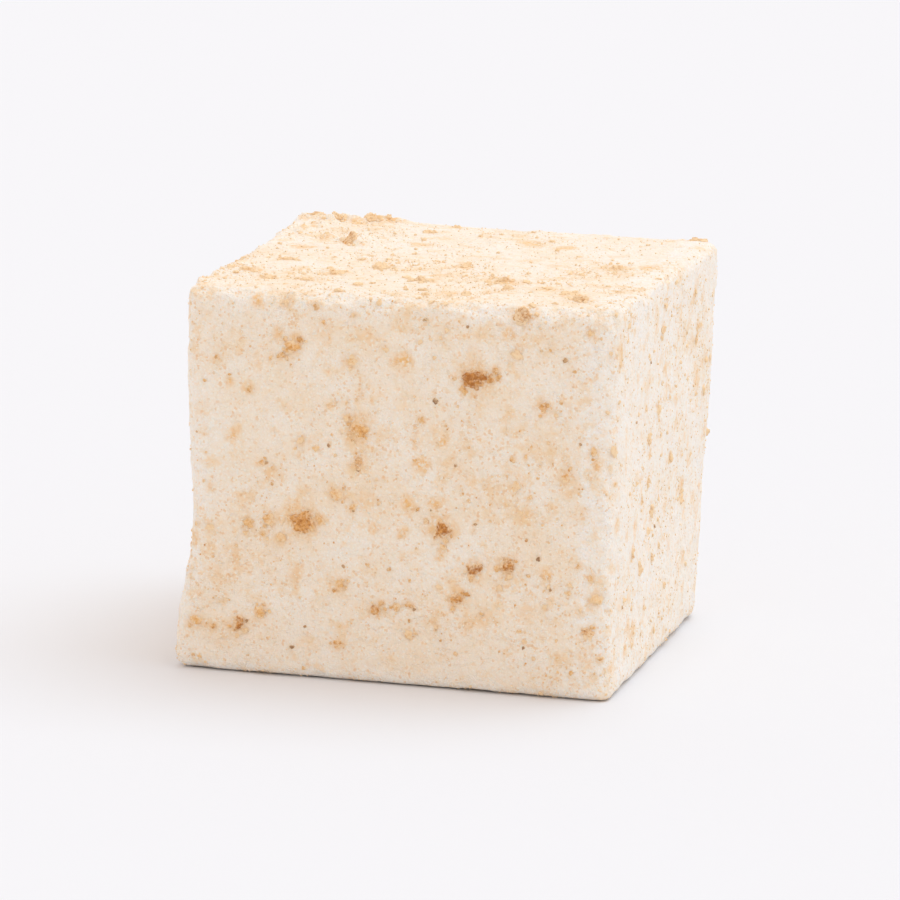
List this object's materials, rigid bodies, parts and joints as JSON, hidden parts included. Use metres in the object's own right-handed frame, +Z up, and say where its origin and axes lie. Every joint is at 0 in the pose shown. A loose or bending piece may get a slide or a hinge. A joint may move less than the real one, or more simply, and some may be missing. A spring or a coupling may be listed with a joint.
{
  "type": "marshmallow cube",
  "caption": "Hand-cut marshmallow cube with rounded edges and slightly uneven sides, dusted all over with biscuit crumbs; rests on its flat underside.",
  "frame": {"origin": "middle of the underside's bounding box, on the surface that the cube rests on", "axes": "+Z up, -Y out of the front (the broad side in the picture), +X out of the right side"},
  "size_m": [0.0328, 0.032, 0.0288],
  "materials": {
    "dusted_marshmallow": "matte cream foam under a dusting of starch and fine tan crumb powder",
    "biscuit_crumb": "dry baked crumb, golden to orange brown"
  },
  "bodies": {
    "root": {"marshmallow": "dusted_marshmallow"}
  },
  "joints": []
}
